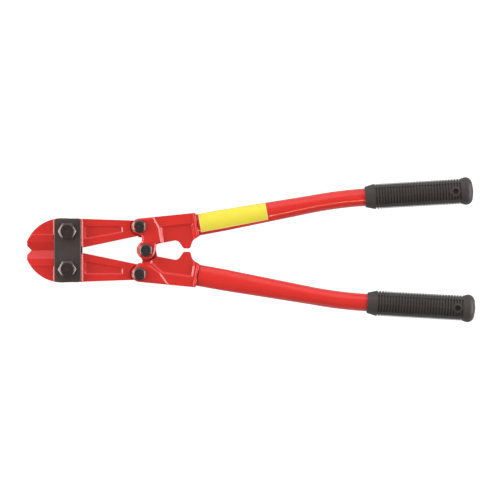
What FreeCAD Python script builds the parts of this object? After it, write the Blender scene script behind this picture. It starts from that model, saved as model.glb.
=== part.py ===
import FreeCAD, Part
import math
import os
import re
import Sketcher

# Compound-action bolt cutters, lying flat: +X runs from the jaws to the grips, +Y to the upper handle,
# +Z to the bolt heads. The origin is under the middle of the tool, on the surface that it lies on.
# Each jaw and each handle is one forging used twice, the second time turned over about X.

SIZES = {
    # layout of the linkage, seen from the front
    "nose_place": -223.8,        # X of the jaw tips
    "jaw_reach": 40.9,           # jaw tip to jaw bolt
    "jaw_bolt_gap": 37.8,        # between the two jaw bolts
    "tail_reach": 71.5,          # jaw bolt to link bolt, along X
    "link_bolt_gap": 47.4,       # between the two link bolts
    "centre_offset": 6.5,        # centre bolt beyond the link bolts
    # fits
    "running_fit": 0.05,         # radial, shank in bore
    "side_gap": 0.1,             # between faces that slide on each other
    "edge_gap": 0.1,             # between the closed cutting edges
    "swing_gap": 0.3,            # round a part that swings in a seat
    "pivot_slack": 2.1,          # centre bolt in the lower head
    # jaws
    "seat_thick": 12.0,          # across the two strap seats
    "arm_thick": 9.8,            # across the jaw arm
    "tail_thick": 7.8,           # across the eye
    "nose_radius": 38.4,
    "nose_centre": 5.7,          # nose arc centre ahead of the jaw bolt
    "head_half": 32.2,           # outer edge of a closed jaw from the centre line
    "notch_depth": 4.1,
    "notch_half": 4.3,
    "heel_start": 8.0,           # end of the cutting edge ahead of the jaw bolt
    "heel_reach": 15.9,
    "heel_half": 3.0,
    "eye_radius": 7.6,
    "tail_inner": 9.05,          # arm edges below and above the link bolt
    "tail_outer": 5.75,
    "tail_nib": 6.1,             # arm tip beyond the link bolt
    "tail_round": 2.3,
    "edge_land": 0.25,           # half width of the cutting edge land
    "steep_width": 8.4,
    "steep_height": 4.9,
    "crest_width": 16.2,
    "crest_lap": 0.4,            # flat left on top of the crest
    "bevel_stop": 11.0,          # end of the blade bevels ahead of the jaw bolt
    "seat_lead": 1.3,            # foot of the seat ahead of the strap
    "seat_trail": 1.8,           # foot of the seat behind the strap
    "pocket_depth": 1.0,
    "pocket_start": 0.4,         # behind the heel
    "pocket_end": 16.5,          # ahead of the link bolt
    "pocket_top": 0.5,           # its sides below and above the link bolt
    "pocket_heel": 13.0,
    "pocket_tip": 6.1,
    "pocket_round": 2.4,
    # straps
    "strap_width": 26.8,
    "strap_length": 63.6,
    "strap_thick": 4.2,
    "strap_corner": 2.2,
    "strap_bevel": 0.6,
    # handle heads
    "blank_thick": 12.0,
    "cheek_thick": 15.0,
    "cheek_radius": 8.0,
    "lobe_radius": 9.3,
    "neck_blend": 4.8,
    "slot_width": 8.0,
    "slot_reach": 24.0,
    "window_half": 6.2,
    "window_reach": 17.0,
    "window_round": 1.2,
    "ramp_run": 9.5,             # slope from the window to the bumper
    "ramp_rise": 4.0,
    "ramp_round": 6.0,
    "bumper_place": 47.6,
    "bumper_width": 5.6,
    "bumper_half": 1.6,
    "bumper_lean": 1.0,
    "bumper_round": 2.4,
    "hollow_run": 2.2,           # hollow from the bumper to the collar
    "hollow_rise": 8.2,
    "hollow_round": 8.0,
    "step_low": 5.4,             # edge of the front cheek past the window corner, from low to top
    "step_bend": 3.1,
    "step_top": 2.7,
    "step_drop": 1.2,
    "flank_start": 1.0,          # edge of the rear cheek, from the lobe to the back
    "flank_drop": 11.2,
    "flank_middle": 9.4,
    "flank_bend": 20.8,
    "flank_top": 29.3,
    "flank_round": 3.0,
    "web_thick": 8.0,            # left between the two pockets
    "well_left": 20.6,           # front pocket
    "well_slant": 3.0,
    "well_drop": 0.3,
    "well_top": 3.7,
    "well_end": 4.6,
    "well_foot": 2.8,
    "well_round": 1.5,
    "scoop_left": 10.8,          # rear pocket, where it differs
    "scoop_drop": 10.8,
    "scoop_bend": 22.6,
    "scoop_round": 4.0,
    "collar_thick": 14.8,
    "collar_width": 2.8,
    "collar_rise": 1.6,          # collar beyond the tube, outer and inner side
    "collar_drop": 0.4,
    "tang_length": 26.0,
    # handle tubes
    "tube_start": 57.8,          # tube end beyond the link bolt
    "tube_rise": 1.4,
    "handle_angle": 10.3,
    "grip_angle": 3.5,
    "oval_width": 21.4,
    "oval_thick": 13.6,
    "oval_side": 5.4,            # radius of the oval's narrow sides
    "tube_diameter": 17.5,
    "tube_wall": 1.6,
    "oval_length": 26.0,
    "straight_length": 121.0,    # flat run, swage and a little round tube before the bend
    "plain_run": 3.0,
    "bend_radius": 412.0,
    # grips
    "grip_length": 110.0,
    "grip_mouth": 21.0,
    "grip_diameter": 25.2,
    "grip_taper": 10.0,
    "flange_diameter": 27.6,
    "flange_length": 11.0,
    "flange_slope": 2.0,
    "end_round": 5.0,
    "grip_floor": 5.0,
    "end_gap": 1.0,              # tube end to the closed end
    "hole_diameter": 5.6,
    "hole_place": 7.5,           # ahead of the flange
    "hole_floor": 0.6,           # rubber left over the tube
    # bolts
    "jaw_bolt_shank": 10.0,
    "jaw_bolt_flats": 16.0,
    "jaw_bolt_head": 6.4,
    "jaw_nut_height": 5.0,
    "link_bolt_shank": 8.0,
    "link_bolt_flats": 12.0,
    "link_bolt_head": 5.3,
    "link_nut_height": 4.8,
    "crown_share": 0.4,          # radius of the flat on top, as a share of the width across flats
    "crown_angle": 30.0,
    "mark_radius": 0.8,
    "mark_depth": 0.6,
    "shank_bevel": 0.7,
    "washer_diameter": 12.6,
    "washer_thick": 1.4,
}

JAW_HALF = "(jaw_bolt_gap / 2)"
LINK_HALF = "(link_bolt_gap / 2)"
MIDDLE = "(seat_thick / 2 + side_gap + strap_thick + jaw_nut_height)"  # mid-plane above the table
JAW_X = "(nose_place + jaw_reach)"
LINK_X = f"({JAW_X} + tail_reach)"
CENTRE_X = f"({LINK_X} + centre_offset)"
BEND = "(handle_angle - grip_angle)"
SWAGE_END = "(straight_length - plain_run)"

# jaw, from the jaw bolt
EDGE = f"(edge_gap / 2 - {JAW_HALF})"
JAW_TOP = f"(head_half - {JAW_HALF})"
EYE_Y = f"({LINK_HALF} - {JAW_HALF})"

# handle head, from the link bolt
CENTRE_Y = f"(-{LINK_HALF})"
WINDOW_Y = f"({CENTRE_Y} + window_half)"
BUMPER_Y = f"({CENTRE_Y} + bumper_half)"
LEAN_X = "sin(handle_angle)"
LEAN_Y = "cos(handle_angle)"
FACE_TOP = (f"(tube_start - (oval_width / 2 + collar_rise) * {LEAN_X})",
            f"(tube_rise + (oval_width / 2 + collar_rise) * {LEAN_Y})")
FACE_LOW = (f"(tube_start + (oval_width / 2 + collar_drop) * {LEAN_X})",
            f"(tube_rise - (oval_width / 2 + collar_drop) * {LEAN_Y})")
BACK_SLOPE = f"(({FACE_TOP[1]} - cheek_radius) / {FACE_TOP[0]})"
FORK = [
    ("bend", "0", "0", "cheek_radius"),
    ("blend", "neck_blend"),
    ("bend", "centre_offset", CENTRE_Y, "lobe_radius"),
    ("corner", "window_reach", WINDOW_Y, "window_round"),
]

# degrees that walls lean from upright
CREST_TAPER = 45
SEAT_TAPER = 55
POCKET_TAPER = 56
CHEEK_TAPER = 46
COLLAR_TAPER = 36

SLIVER = 1e-3                    # mm; anything smaller counts as nothing

doc = FreeCAD.newDocument("BoltCutters")
sheet = doc.addObject("Spreadsheet::Sheet", "Sizes")


def fill_sheet():
    """Write each driving dimension as a named cell."""
    for row, (name, size) in enumerate(SIZES.items(), start=1):
        sheet.set(f"A{row}", name)
        sheet.set(f"B{row}", str(size))
        sheet.setAlias(f"B{row}", name)
    doc.recompute()


def formula(text):
    """Point every size name in a formula at the sheet."""
    return re.sub(r"\b[a-z]+(?:_[a-z]+)+\b", r"Sizes.\g<0>", str(text))


def number(text):
    """Work a formula out."""
    return float(sheet.evalExpression(formula(text)))


def plane(body, role):
    """One of a body's own origin planes."""
    return next(item for item in body.Origin.OriginFeatures if item.Role == role)


def new_sketch(body, name, role="XY_Plane", lift="0"):
    """Start a sketch on an origin plane, lifted along its normal."""
    sketch = body.newObject("Sketcher::SketchObject", name)
    sketch.AttachmentSupport = [(plane(body, role), "")]
    sketch.MapMode = "FlatFace"
    sketch.setExpression("AttachmentOffset.Base.z", formula(lift))
    return sketch


def bind(sketch, kind, *args):
    """Add a dimension to a sketch and tie it to a formula, the last argument."""
    index = sketch.addConstraint(Sketcher.Constraint(kind, *args[:-1], number(args[-1])))
    sketch.setExpression(f"Constraints[{index}]", formula(args[-1]))


def pin(sketch, geometry, position, x, y):
    """Hold a point at a place given by two formulas."""
    bind(sketch, "DistanceX", -1, 1, geometry, position, x)
    bind(sketch, "DistanceY", -1, 1, geometry, position, y)


def circle(sketch, x, y, radius):
    """Draw a circle."""
    centre = FreeCAD.Vector(number(x), number(y), 0)
    ring = sketch.addGeometry(Part.Circle(centre, FreeCAD.Vector(0, 0, 1), number(radius)), False)
    pin(sketch, ring, 3, x, y)
    bind(sketch, "Radius", ring, radius)


def turn_towards(start, end, offset):
    """Left normal of the line that joins two rounds whose signed radii differ by offset."""
    span = end - start
    angle = math.atan2(span.y, span.x) - math.asin(offset / span.Length)
    return FreeCAD.Vector(-math.sin(angle), math.cos(angle), 0)


def arc(sketch, centre, start, end, turn):
    """Draw an arc; returns it with the vertex numbers of its start and end along the path."""
    first, last = (start, end) if turn > 0 else (end, start)
    low = math.atan2(first.y - centre.y, first.x - centre.x)
    high = math.atan2(last.y - centre.y, last.x - centre.x)
    if high < low:
        high += 2 * math.pi
    ring = Part.Circle(centre, FreeCAD.Vector(0, 0, 1), (start - centre).Length)
    index = sketch.addGeometry(Part.ArcOfCircle(ring, low, high), False)
    return (index, 1, 2) if turn > 0 else (index, 2, 1)


def arc_centre(start, end, radius, turn):
    """Centre of the shorter arc between two points."""
    chord = end - start
    normal = FreeCAD.Vector(-chord.y, chord.x, 0).normalize()
    height = math.sqrt(radius**2 - (chord.Length / 2) ** 2)
    return (start + end) * 0.5 + normal * height * turn


def outline(sketch, stations):
    """Draw a closed outline through stations, with the material on the left.

    ("corner", x, y)                 sharp corner
    ("corner", x, y, radius)         rounded corner
    ("bend", x, y, radius)           arc about a given centre, joined smoothly on both sides
    ("blend", radius)                hollow arc that joins the bends before and after it
    ("arc", radius)                  bulging arc between the corners before and after it
    """
    count = len(stations)
    kinds = [station[0] for station in stations]
    centres = [FreeCAD.Vector(number(s[1]), number(s[2]), 0) if len(s) > 2 else None for s in stations]
    radii = [number(s[3]) if kind == "bend" else 0.0 for kind, s in zip(kinds, stations)]
    starts = {}
    ends = {}
    for i in range(count):
        j = (i + 1) % count
        if kinds[i] in ("corner", "bend") and kinds[j] in ("corner", "bend"):
            normal = turn_towards(centres[i], centres[j], radii[j] - radii[i])
            ends[i] = centres[i] - normal * radii[i]
            starts[j] = centres[j] - normal * radii[j]
        elif kinds[j] == "blend":
            after = (i + 2) % count
            radius = number(stations[j][1])
            span = centres[after] - centres[i]
            reach = radii[i] + radius
            along = (reach**2 - (radii[after] + radius) ** 2 + span.Length**2) / (2 * span.Length)
            side = FreeCAD.Vector(span.y, -span.x, 0).normalize()
            middle = centres[i] + span.normalize() * along + side * math.sqrt(reach**2 - along**2)
            centres[j] = middle
            ends[i] = starts[j] = centres[i] + (middle - centres[i]).normalize() * radii[i]
            ends[j] = starts[after] = centres[after] + (middle - centres[after]).normalize() * radii[after]
    path = []
    for i in range(count):
        j = (i + 1) % count
        kind = kinds[i]
        if kind == "corner":
            here = centres[i]
            if len(stations[i]) > 3:
                radius = number(stations[i][3])
                before = (starts[i] - ends[(i - 1) % count]).normalize()
                after = (starts[j] - ends[i]).normalize()
                swing = before.getAngle(after)
                turn = 1 if before.cross(after).z > 0 else -1
                back = radius * math.tan(swing / 2)
                start = here - before * back
                end = here + after * back
                centre = start + FreeCAD.Vector(-before.y, before.x, 0) * radius * turn
                starts[i] = start
                ends[i] = end
                path.append(("round", i, arc(sketch, centre, start, end, turn)))
        elif kind == "bend":
            path.append(("bend", i, arc(sketch, centres[i], starts[i], ends[i], 1)))
        elif kind == "blend":
            path.append(("blend", i, arc(sketch, centres[i], starts[i], ends[i], -1)))
        elif kind == "arc":
            before = centres[i - 1]
            after = centres[j]
            centre = arc_centre(before, after, number(stations[i][1]), 1)
            path.append(("arc", i, arc(sketch, centre, before, after, 1)))
        if kind in ("corner", "bend") and kinds[j] in ("corner", "bend"):
            path.append(("line", i, None))
    lines = {}
    for place, (kind, i, _) in enumerate(path):
        if kind == "line":
            j = (i + 1) % count
            start = ends.get(i, centres[i]) if kinds[i] == "bend" or len(stations[i]) > 3 else centres[i]
            end = starts[j]
            if len(stations[j]) == 3:
                end = centres[j]
            index = sketch.addGeometry(Part.LineSegment(start, end), False)
            path[place] = ("line", i, (index, 1, 2))
            lines[i] = index
    constrain(sketch, stations, path, lines)


def constrain(sketch, stations, path, lines):
    """Join an outline's elements in order and dimension them."""
    count = len(path)
    for place in range(count):
        kind, i, (index, _, end) = path[place]
        after_kind, after_i, (after, start, _) = path[(place + 1) % count]
        smooth = {"round", "bend", "blend"} & {kind, after_kind}
        if smooth and "arc" not in (kind, after_kind):
            sketch.addConstraint(Sketcher.Constraint("Tangent", index, end, after, start))
        else:
            sketch.addConstraint(Sketcher.Constraint("Coincident", index, end, after, start))
            corner = stations[after_i if after_kind == "line" else (after_i - 1) % len(stations)]
            pin(sketch, after, start, corner[1], corner[2])
    for kind, i, (index, _, _) in path:
        station = stations[i]
        if kind == "bend":
            pin(sketch, index, 3, station[1], station[2])
            bind(sketch, "Radius", index, station[3])
        elif kind == "round":
            sharp = FreeCAD.Vector(number(station[1]), number(station[2]), 0)
            point = sketch.addGeometry(Part.Point(sharp), True)
            pin(sketch, point, 1, station[1], station[2])
            for line in (lines[(i - 1) % len(stations)], lines[i]):
                sketch.addConstraint(Sketcher.Constraint("PointOnObject", point, 1, line))
            bind(sketch, "Radius", index, station[3])
        elif kind in ("blend", "arc"):
            bind(sketch, "Radius", index, station[1])


def polygon(sketch, corners):
    """Draw a closed outline of sharp or rounded corners."""
    outline(sketch, [("corner", *corner) for corner in corners])


def pad(body, name, sketch, length, taper=0, both=False, down=False):
    """Add material from a sketch; a positive taper narrows it."""
    feature = body.newObject("PartDesign::Pad", name)
    feature.Profile = sketch
    feature.setExpression("Length", formula(length))
    feature.SideType = "Symmetric" if both else "One side"
    feature.Reversed = down
    if taper:
        feature.TaperAngle = -taper
    doc.recompute()
    return feature


def cut(body, name, sketch, length, taper=0, both=False, up=False):
    """Take material away from a sketch; a positive taper narrows the cut as it goes deeper."""
    before = body.Tip.Shape.Volume
    feature = body.newObject("PartDesign::Pocket", name)
    feature.Profile = sketch
    feature.setExpression("Length", formula(length))
    feature.SideType = "Symmetric" if both else "One side"
    feature.Reversed = up
    if taper:
        feature.TaperAngle = -taper
    doc.recompute()
    if before - feature.Shape.Volume < SLIVER:
        raise RuntimeError(f"{body.Label}: {name} cuts nothing")
    return feature


def mirror(body, name, features):
    """Repeat features on the other side of the mid-plane."""
    feature = body.newObject("PartDesign::Mirrored", name)
    feature.Originals = features
    feature.MirrorPlane = (plane(body, "XY_Plane"), [""])
    body.Tip = feature
    doc.recompute()
    return feature


def edges_where(shape, wanted):
    """Names of the edges that pass a test."""
    return [f"Edge{i}" for i, edge in enumerate(shape.Edges, start=1) if wanted(edge)]


def chamfer(body, name, size, wanted):
    """Bevel the edges that pass a test."""
    base = body.Tip
    feature = body.newObject("PartDesign::Chamfer", name)
    feature.Base = (base, edges_where(base.Shape, wanted))
    feature.setExpression("Size", formula(size))
    doc.recompute()
    return feature


def new_body(name):
    """Start a sub-part; its label names its file."""
    body = doc.addObject("PartDesign::Body", name)
    body.Label = name
    return body


def put(body, x, y, z=MIDDLE, turn="0", flip=False):
    """Place a sub-part; flip turns it over about X and mirrors its place to the lower side."""
    where = f"create(<<vector>>; {x}; {f'-({y})' if flip else y}; {z})"
    spin = f"create(<<rotation>>; {f'-({turn})' if flip else turn}; 0; {180 if flip else 0})"
    body.setExpression("Placement", formula(f"create(<<placement>>; {where}; {spin})"))
    doc.recompute()


def jaw(name, flip):
    """Forged jaw with its cutting edge, strap seats and eye; its own origin is the jaw bolt."""
    body = new_body(name)
    notch = ("corner", "notch_depth - jaw_reach", EDGE)
    blunt = ("corner", "-jaw_reach", f"notch_half - {JAW_HALF}")
    nose_y = f"({JAW_TOP} - nose_radius)"
    tip = ("corner", "-jaw_reach", nose_arc("jaw_reach"))
    ridge = f"({EDGE} + crest_width)"
    ridge_x = f"(-nose_centre - sqrt(pow(nose_radius; 2) - pow({ridge} - {nose_y}; 2)))"

    sketch = new_sketch(body, "arm_outline")
    outline(sketch, [
        notch,
        ("corner", "-heel_start", EDGE),
        ("corner", "heel_reach", f"heel_half - {JAW_HALF}"),
        ("corner", "tail_reach", f"{EYE_Y} - tail_inner", "tail_round"),
        ("corner", "tail_reach + tail_nib", EYE_Y),
        ("corner", "tail_reach", f"{EYE_Y} + tail_outer"),
        ("corner", "-nose_centre", JAW_TOP),
        ("arc", "nose_radius"),
        tip,
        blunt,
    ])
    arm = pad(body, "arm", sketch, "arm_thick / 2")
    sketch = new_sketch(body, "eye_outline")
    circle(sketch, "tail_reach", EYE_Y, "eye_radius")
    eye = pad(body, "eye", sketch, "tail_thick / 2")
    seat = strap_seat(body)

    sketch = new_sketch(body, "crest_outline", lift="arm_thick / 2")
    outline(sketch, [
        notch,
        ("corner", "-heel_start", EDGE),
        ("corner", "-heel_start", ridge),
        ("corner", ridge_x, ridge),
        ("arc", "nose_radius"),
        tip,
        blunt,
    ])
    crest = pad(body, "blade_crest", sketch, "(seat_thick - arm_thick) / 2", taper=CREST_TAPER)

    sketch = new_sketch(body, "bevel_profile", role="YZ_Plane", lift="-bevel_stop")
    polygon(sketch, [
        (f"{EDGE} - notch_depth", "edge_land"),
        (EDGE, "edge_land"),
        (f"{EDGE} + steep_width", "steep_height"),
        (f"{ridge} - crest_lap", "seat_thick / 2"),
        (f"{ridge} - crest_lap", "seat_thick"),
        (f"{EDGE} - notch_depth", "seat_thick"),
    ])
    bevel = cut(body, "blade_bevel", sketch, "jaw_reach")
    mirror(body, "other_face", [arm, eye, seat, crest, bevel, arm_pocket(body), *jaw_rounds(body)])
    put(body, JAW_X, JAW_HALF, flip=flip)


def nose_arc(ahead):
    """Height of the nose arc at a distance ahead of the jaw bolt."""
    return f"({JAW_TOP} - nose_radius + sqrt(pow(nose_radius; 2) - pow({ahead} - nose_centre; 2)))"


def strap_seat(body):
    """Raise the jaw under the strap, with a bevel that shows on both sides of it."""
    left = "(strap_width / 2 + seat_lead)"
    right = "(strap_width / 2 + seat_trail)"
    inner_slope = "((heel_half - edge_gap / 2) / (heel_reach + heel_start))"
    outer_slope = f"(({EYE_Y} + tail_outer - {JAW_TOP}) / (tail_reach + nose_centre))"
    sketch = new_sketch(body, "seat_outline", lift="arm_thick / 2")
    polygon(sketch, [
        (f"-{left}", EDGE),
        ("-heel_start", EDGE),
        (right, f"{EDGE} + {inner_slope} * ({right} + heel_start)"),
        (right, f"{JAW_TOP} + {outer_slope} * ({right} + nose_centre)"),
        ("-nose_centre", JAW_TOP),
        (f"-{left}", nose_arc(left)),
    ])
    return pad(body, "strap_seat", sketch, "(seat_thick - arm_thick) / 2", taper=SEAT_TAPER)


def arm_pocket(body):
    """Shallow pocket along the jaw arm."""
    start = "(heel_reach + pocket_start)"
    end = "(tail_reach - pocket_end)"
    sketch = new_sketch(body, "pocket_outline", lift="arm_thick / 2")
    polygon(sketch, [
        (start, f"{EYE_Y} - pocket_heel", "pocket_round"),
        (end, f"{EYE_Y} - pocket_tip", "pocket_round"),
        (end, f"{EYE_Y} + pocket_top", "pocket_round"),
        (start, f"{EYE_Y} + pocket_top", "pocket_round"),
    ])
    return cut(body, "arm_pocket", sketch, "pocket_depth", taper=POCKET_TAPER)


def jaw_rounds(body):
    """Thin the eye to its thickness and bore both holes."""
    sketch = new_sketch(body, "relief_outline", lift="seat_thick")
    circle(sketch, "tail_reach", EYE_Y, "tail_inner + swing_gap * 2")
    relief = cut(body, "eye_relief", sketch, "seat_thick - tail_thick / 2")
    sketch = new_sketch(body, "bore_outline", lift="seat_thick")
    circle(sketch, "0", "0", "jaw_bolt_shank / 2 + running_fit")
    circle(sketch, "tail_reach", EYE_Y, "link_bolt_shank / 2 + running_fit")
    return relief, cut(body, "bores", sketch, "seat_thick")


def handle_head(name, flip, centre_bore):
    """Forged fork that carries the tube; its own origin is the link bolt."""
    body = new_body(name)
    sketch = new_sketch(body, "blank_outline")
    bumper_end = "(bumper_place + bumper_width / 2)"
    outline(sketch, [
        *FORK,
        ("corner", "bumper_place - ramp_run", f"{WINDOW_Y} + ramp_rise", "ramp_round"),
        ("corner", "bumper_place - bumper_width / 2 - bumper_lean", BUMPER_Y, "bumper_round"),
        ("corner", bumper_end, BUMPER_Y, "bumper_round"),
        ("corner", f"{bumper_end} + hollow_run", f"{BUMPER_Y} + hollow_rise", "hollow_round"),
        ("corner", *FACE_LOW),
        ("corner", *FACE_TOP),
    ])
    pad(body, "blank", sketch, "blank_thick", both=True)
    cheeks(body)

    sketch = new_sketch(body, "lap_outline", lift="side_gap / 2")
    circle(sketch, "centre_offset", CENTRE_Y, "lobe_radius + pivot_slack + swing_gap")
    cut(body, "lap_seat", sketch, "cheek_thick")

    sketch = new_sketch(body, "slot_outline")
    gap = "(tail_inner + swing_gap * 2)"
    tail_slope = f"atan(({LINK_HALF} - tail_inner - heel_half) / (tail_reach - heel_reach))"
    outline(sketch, [
        ("bend", "0", "0", gap),
        ("corner", "0", "slot_reach"),
        ("corner", "-slot_reach", "slot_reach"),
        ("corner", "-slot_reach", f"-{gap} / cos({tail_slope}) - slot_reach * tan({tail_slope})"),
    ])
    cut(body, "tail_slot", sketch, "slot_width", both=True)
    head_pockets(body)
    collar_and_tang(body)

    sketch = new_sketch(body, "bore_outline")
    circle(sketch, "0", "0", "link_bolt_shank / 2 + running_fit")
    circle(sketch, "centre_offset", CENTRE_Y, centre_bore)
    cut(body, "bores", sketch, "cheek_thick * 2", both=True)
    put(body, LINK_X, LINK_HALF, flip=flip)


def cheeks(body):
    """Raise the fork's two faces round the link bolt, each with its own bevelled edge."""
    step = "((cheek_thick - blank_thick) / 2)"
    ramp_slope = "(ramp_rise / (bumper_place - ramp_run - window_reach))"
    sketch = new_sketch(body, "front_cheek_outline", lift="blank_thick / 2")
    outline(sketch, [
        *FORK,
        ("corner", "window_reach + step_low", f"{WINDOW_Y} + step_low * {ramp_slope}"),
        ("corner", "window_reach + step_bend", "-step_drop"),
        ("corner", "window_reach - step_top", f"cheek_radius + {BACK_SLOPE} * (window_reach - step_top)"),
    ])
    pad(body, "front_cheek", sketch, step, taper=CHEEK_TAPER)
    sketch = new_sketch(body, "rear_cheek_outline", lift="-blank_thick / 2")
    outline(sketch, [
        FORK[0],
        ("corner", "-flank_start", "-flank_drop", "flank_round"),
        ("corner", "flank_middle", "-flank_middle", "flank_round"),
        ("corner", "flank_bend", "-step_drop", "flank_round"),
        ("corner", "flank_top", f"cheek_radius + {BACK_SLOPE} * flank_top"),
    ])
    pad(body, "rear_cheek", sketch, step, taper=CHEEK_TAPER, down=True)


def head_pockets(body):
    """Sink a pocket into each face of the head, behind the raised cheek."""
    below = f"({CENTRE_Y} - window_half)"
    right = [
        ("tube_start - well_end", "well_top", "well_round"),
        ("tube_start - well_foot", "-cheek_radius"),
        ("tube_start - well_foot", below),
    ]
    front = [
        ("well_left + well_slant", below),
        ("well_left", "-well_drop", "well_round"),
    ]
    rear = [
        ("scoop_left", below),
        ("scoop_left", "-scoop_drop", "well_round"),
        ("scoop_bend", "-well_drop", "scoop_round"),
    ]
    for side, left, lift, up in (("front", front, "blank_thick / 2", False),
                                 ("rear", rear, "-blank_thick / 2", True)):
        sketch = new_sketch(body, f"{side}_pocket_outline", lift=lift)
        polygon(sketch, left + right)
        cut(body, f"{side}_pocket", sketch, "(blank_thick - web_thick) / 2", taper=CHEEK_TAPER, up=up)


def collar_and_tang(body):
    """Add the ridge round the tube's mouth and the tongue that the tube is pressed over."""
    rise = "((collar_thick - blank_thick) / 2)"
    back_x = f"collar_width * {LEAN_Y}"
    back_y = f"collar_width * {LEAN_X}"
    for side, lift, down in (("front", "blank_thick / 2", False), ("rear", "-blank_thick / 2", True)):
        sketch = new_sketch(body, f"{side}_collar_outline", lift=lift)
        polygon(sketch, [
            (f"{FACE_LOW[0]} - {back_x}", f"{FACE_LOW[1]} - {back_y} + collar_drop"),
            FACE_LOW,
            FACE_TOP,
            (f"{FACE_TOP[0]} - {back_x}", f"{FACE_TOP[1]} - {back_y}"),
        ])
        pad(body, f"{side}_collar", sketch, rise, taper=COLLAR_TAPER, down=down)
    sketch = new_sketch(body, "tang_outline", role="YZ_Plane")
    sketch.setExpression("AttachmentOffset", formula(
        "create(<<placement>>; create(<<vector>>; tube_rise; 0; tube_start);"
        " create(<<rotation>>; create(<<vector>>; 0; 1; 0); handle_angle))"))
    oval(sketch, "tube_wall + running_fit")
    pad(body, "tang", sketch, "tang_length")


def oval(sketch, inset):
    """Draw the flattened tube's section, drawn in by inset, from four tangent arcs."""
    half = f"(oval_width / 2 - ({inset}))"
    thin = f"(oval_thick / 2 - ({inset}))"
    side = f"(oval_side - ({inset}))"
    four_arcs(sketch, half, thin, side)


def four_arcs(sketch, half, thin, side):
    """Draw a section of two narrow arcs and two broad ones that meet smoothly."""
    run = f"({half} - {side})"
    drop = f"((pow({run}; 2) / ({thin} - {side}) - ({thin} - {side})) / 2)"
    broad = f"({drop} + {thin})"
    across = number(run)
    low = number(drop)
    reach = number(broad)
    tangent = FreeCAD.Vector(across, low, 0).normalize() * reach - FreeCAD.Vector(0, low, 0)
    corners = [FreeCAD.Vector(sx * tangent.x, sy * tangent.y, 0)
               for sx, sy in ((1, -1), (1, 1), (-1, 1), (-1, -1))]
    middles = [(run, "0", side), ("0", f"-{drop}", broad), (f"-{run}", "0", side), ("0", drop, broad)]
    arcs = []
    for i, (x, y, _) in enumerate(middles):
        centre = FreeCAD.Vector(number(x), number(y), 0)
        arcs.append(arc(sketch, centre, corners[i], corners[(i + 1) % 4], 1)[0])
    for i in range(4):
        sketch.addConstraint(Sketcher.Constraint("Tangent", arcs[i], 2, arcs[(i + 1) % 4], 1))
    for i, (x, y, radius) in enumerate(middles):
        bind(sketch, "Radius", arcs[i], radius)
    pin(sketch, arcs[0], 3, run, "0")
    pin(sketch, arcs[2], 3, f"-{run}", "0")


def round_section(sketch, radius):
    """Draw a circle as four equal arcs, so that it lofts cleanly from an oval."""
    across = f"({radius} * sqrt(0.5))"
    reach = number(across)
    corners = [FreeCAD.Vector(sx * reach, sy * reach, 0) for sx, sy in ((1, -1), (1, 1), (-1, 1), (-1, -1))]
    arcs = [arc(sketch, FreeCAD.Vector(), corners[i], corners[(i + 1) % 4], 1)[0] for i in range(4)]
    for i in range(4):
        sketch.addConstraint(Sketcher.Constraint("Coincident", arcs[i], 2, arcs[(i + 1) % 4], 1))
        sketch.addConstraint(Sketcher.Constraint("Coincident", arcs[i], 3, -1, 1))
    pin(sketch, arcs[0], 1, across, f"-{across}")
    for i in (0, 1, 2):
        bind(sketch, "DistanceX", -1, 1, arcs[i], 2, across if i == 0 else f"-{across}")


def tube_path(sketch):
    """Draw the tube's centre line: straight, a slow bend, and straight again into the grip."""
    bend_x = f"(straight_length + bend_radius * sin({BEND}))"
    bend_y = f"(-bend_radius * (1 - cos({BEND})))"
    run = "(grip_length - grip_floor - end_gap)"
    points = [(SWAGE_END, "0"), ("straight_length", "0"), (bend_x, bend_y),
              (f"{bend_x} + {run} * cos({BEND})", f"{bend_y} - {run} * sin({BEND})")]
    places = [FreeCAD.Vector(number(x), number(y), 0) for x, y in points]
    first = sketch.addGeometry(Part.LineSegment(places[0], places[1]), False)
    centre = arc_centre(places[1], places[2], number("bend_radius"), -1)
    bend, start, end = arc(sketch, centre, places[1], places[2], -1)
    last = sketch.addGeometry(Part.LineSegment(places[2], places[3]), False)
    sketch.addConstraint(Sketcher.Constraint("Coincident", first, 2, bend, start))
    sketch.addConstraint(Sketcher.Constraint("Coincident", bend, end, last, 1))
    pin(sketch, first, 1, *points[0])
    pin(sketch, first, 2, *points[1])
    pin(sketch, last, 1, *points[2])
    pin(sketch, last, 2, *points[3])
    bind(sketch, "Radius", bend, "bend_radius")


def tube(name, flip):
    """Handle tube, flattened over the tang and drawn down to a round; its origin is its head end."""
    body = new_body(name)
    for part, inset, loft, pipe in (("skin", "0", "PartDesign::AdditiveLoft", "PartDesign::AdditivePipe"),
                                    ("bore", "tube_wall", "PartDesign::SubtractiveLoft",
                                     "PartDesign::SubtractivePipe")):
        flat = new_sketch(body, f"{part}_oval", role="YZ_Plane")
        oval(flat, inset)
        if part == "skin":
            pad(body, "flat_run", flat, "oval_length")
        else:
            cut(body, "flat_bore", flat, "oval_length", up=True)
        shoulder = new_sketch(body, f"{part}_shoulder", role="YZ_Plane", lift="oval_length")
        oval(shoulder, inset)
        ring = new_sketch(body, f"{part}_round", role="YZ_Plane", lift=SWAGE_END)
        round_section(ring, f"(tube_diameter / 2 - {inset})")
        swage = body.newObject(loft, f"{part}_swage")
        swage.Profile = shoulder
        swage.Sections = [ring]
        doc.recompute()
        start = new_sketch(body, f"{part}_start", role="YZ_Plane", lift=SWAGE_END)
        circle(start, "0", "0", f"tube_diameter / 2 - {inset}")
        path = new_sketch(body, f"{part}_path")
        tube_path(path)
        run = body.newObject(pipe, f"{part}_run")
        run.Profile = start
        run.Spine = (path, [])
        doc.recompute()
    put(body, f"{LINK_X} + tube_start", f"{LINK_HALF} + tube_rise", turn="handle_angle", flip=flip)


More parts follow.
